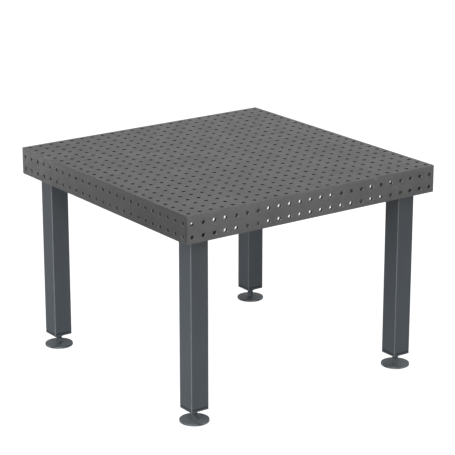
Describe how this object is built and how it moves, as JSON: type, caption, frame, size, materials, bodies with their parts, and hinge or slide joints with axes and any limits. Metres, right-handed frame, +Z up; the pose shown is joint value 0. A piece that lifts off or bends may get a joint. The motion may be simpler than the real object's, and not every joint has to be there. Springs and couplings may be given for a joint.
{
  "type": "welding table",
  "caption": "Square perforated steel welding table with drilled side walls, on bolted square-tube legs with screw-adjustable round feet.",
  "frame": {"origin": "on the floor under the middle of the square top", "axes": "+Z up, +X along the front wall to the right, front wall faces -Y"},
  "size_m": [1.2, 1.2, 0.86],
  "materials": {
    "table_steel": "dark grey machined steel, matt, lightly brushed",
    "leg_paint": "blue-grey satin powder coat",
    "foot_steel": "dark blue-grey satin coating",
    "plain_steel": "plain turned steel",
    "zinc_steel": "bright zinc plate"
  },
  "bodies": {
    "table": {"top_plate": "table_steel", "side_wall_front": "table_steel", "side_wall_right": "table_steel", "side_wall_rear": "table_steel", "side_wall_left": "table_steel", "cross_rib_front": "table_steel", "cross_rib_rear": "table_steel", "long_rib_left": "table_steel", "long_rib_right": "table_steel", "leg_bolts": "zinc_steel", "leg_washers": "zinc_steel", "corner_plate_front_left": "table_steel", "corner_stiffener_front_left": "table_steel", "leg_flange_front_left": "leg_paint", "leg_tube_front_left": "leg_paint", "leg_end_plate_front_left": "leg_paint", "weld_nut_front_left": "plain_steel", "corner_plate_front_right": "table_steel", "corner_stiffener_front_right": "table_steel", "leg_flange_front_right": "leg_paint", "leg_tube_front_right": "leg_paint", "leg_end_plate_front_right": "leg_paint", "weld_nut_front_right": "plain_steel", "corner_plate_rear_left": "table_steel", "corner_stiffener_rear_left": "table_steel", "leg_flange_rear_left": "leg_paint", "leg_tube_rear_left": "leg_paint", "leg_end_plate_rear_left": "leg_paint", "weld_nut_rear_left": "plain_steel", "corner_plate_rear_right": "table_steel", "corner_stiffener_rear_right": "table_steel", "leg_flange_rear_right": "leg_paint", "leg_tube_rear_right": "leg_paint", "leg_end_plate_rear_right": "leg_paint", "weld_nut_rear_right": "plain_steel"},
    "foot_front_left": {"foot_disc_front_left": "foot_steel"},
    "spindle_front_left": {"foot_spindle_front_left": "foot_steel", "retaining_ring_front_left": "plain_steel"},
    "lock_nut_front_left": {"lock_nut_front_left": "foot_steel"},
    "foot_front_right": {"foot_disc_front_right": "foot_steel"},
    "spindle_front_right": {"foot_spindle_front_right": "foot_steel", "retaining_ring_front_right": "plain_steel"},
    "lock_nut_front_right": {"lock_nut_front_right": "foot_steel"},
    "foot_rear_left": {"foot_disc_rear_left": "foot_steel"},
    "spindle_rear_left": {"foot_spindle_rear_left": "foot_steel", "retaining_ring_rear_left": "plain_steel"},
    "lock_nut_rear_left": {"lock_nut_rear_left": "foot_steel"},
    "foot_rear_right": {"foot_disc_rear_right": "foot_steel"},
    "spindle_rear_right": {"foot_spindle_rear_right": "foot_steel", "retaining_ring_rear_right": "plain_steel"},
    "lock_nut_rear_right": {"lock_nut_rear_right": "foot_steel"}
  },
  "joints": [
    {"name": "foot_height_front_left", "type": "slide", "parent": "table", "child": "foot_front_left", "axis": [0, 0, -1], "range_m": [-0.018, 0.048]},
    {"name": "spindle_turn_front_left", "type": "hinge", "parent": "foot_front_left", "child": "spindle_front_left", "pos_m": [-0.505, -0.505, 0.05], "axis": [0, 0, -1], "range_deg": [-2160, 5760]},
    {"name": "lock_nut_turn_front_left", "type": "hinge", "parent": "table", "child": "lock_nut_front_left", "pos_m": [-0.505, -0.505, 0.046], "axis": [0, 0, -1], "range_deg": [0, 90]},
    {"name": "foot_height_front_right", "type": "slide", "parent": "table", "child": "foot_front_right", "axis": [0, 0, -1], "range_m": [-0.018, 0.048]},
    {"name": "spindle_turn_front_right", "type": "hinge", "parent": "foot_front_right", "child": "spindle_front_right", "pos_m": [0.505, -0.505, 0.05], "axis": [0, 0, -1], "range_deg": [-2160, 5760]},
    {"name": "lock_nut_turn_front_right", "type": "hinge", "parent": "table", "child": "lock_nut_front_right", "pos_m": [0.505, -0.505, 0.046], "axis": [0, 0, -1], "range_deg": [0, 90]},
    {"name": "foot_height_rear_left", "type": "slide", "parent": "table", "child": "foot_rear_left", "axis": [0, 0, -1], "range_m": [-0.018, 0.048]},
    {"name": "spindle_turn_rear_left", "type": "hinge", "parent": "foot_rear_left", "child": "spindle_rear_left", "pos_m": [-0.505, 0.505, 0.05], "axis": [0, 0, -1], "range_deg": [-2160, 5760]},
    {"name": "lock_nut_turn_rear_left", "type": "hinge", "parent": "table", "child": "lock_nut_rear_left", "pos_m": [-0.505, 0.505, 0.046], "axis": [0, 0, -1], "range_deg": [0, 90]},
    {"name": "foot_height_rear_right", "type": "slide", "parent": "table", "child": "foot_rear_right", "axis": [0, 0, -1], "range_m": [-0.018, 0.048]},
    {"name": "spindle_turn_rear_right", "type": "hinge", "parent": "foot_rear_right", "child": "spindle_rear_right", "pos_m": [0.505, 0.505, 0.05], "axis": [0, 0, -1], "range_deg": [-2160, 5760]},
    {"name": "lock_nut_turn_rear_right", "type": "hinge", "parent": "table", "child": "lock_nut_rear_right", "pos_m": [0.505, 0.505, 0.046], "axis": [0, 0, -1], "range_deg": [0, 90]}
  ],
  "couplings": [
    {"joint": "spindle_turn_front_left", "follows": "foot_height_front_left", "rad_per_m": 2094.4},
    {"joint": "spindle_turn_front_right", "follows": "foot_height_front_right", "rad_per_m": 2094.4},
    {"joint": "spindle_turn_rear_left", "follows": "foot_height_rear_left", "rad_per_m": 2094.4},
    {"joint": "spindle_turn_rear_right", "follows": "foot_height_rear_right", "rad_per_m": 2094.4}
  ]
}
